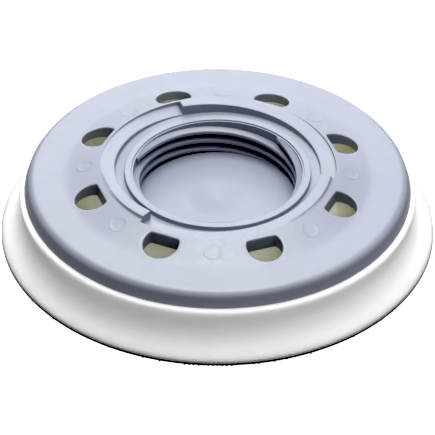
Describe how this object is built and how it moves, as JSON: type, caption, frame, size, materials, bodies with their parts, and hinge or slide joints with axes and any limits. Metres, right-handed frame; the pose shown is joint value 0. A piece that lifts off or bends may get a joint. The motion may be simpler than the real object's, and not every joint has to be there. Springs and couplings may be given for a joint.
{
  "type": "sander backing pad",
  "caption": "Round backing pad for a random-orbit sander: threaded plastic hub with locking ramps and dust ports, on a flared foam body with hook tape.",
  "frame": {"origin": "centre of the sanding face, which rests on the surface", "axes": "+Z along the spindle axis, from the sanding face up to the sander"},
  "size_m": [0.125, 0.125, 0.0238],
  "materials": {
    "hub_plastic": "satin grey-blue moulded plastic",
    "pad_foam": "white skinned polyurethane foam",
    "bond_film": "grey adhesive film",
    "hook_tape": "black woven tape with small hooks"
  },
  "bodies": {
    "root": {"hub": "hub_plastic", "foam_body": "pad_foam", "bond_film": "bond_film", "hook_tape": "hook_tape"}
  },
  "joints": []
}
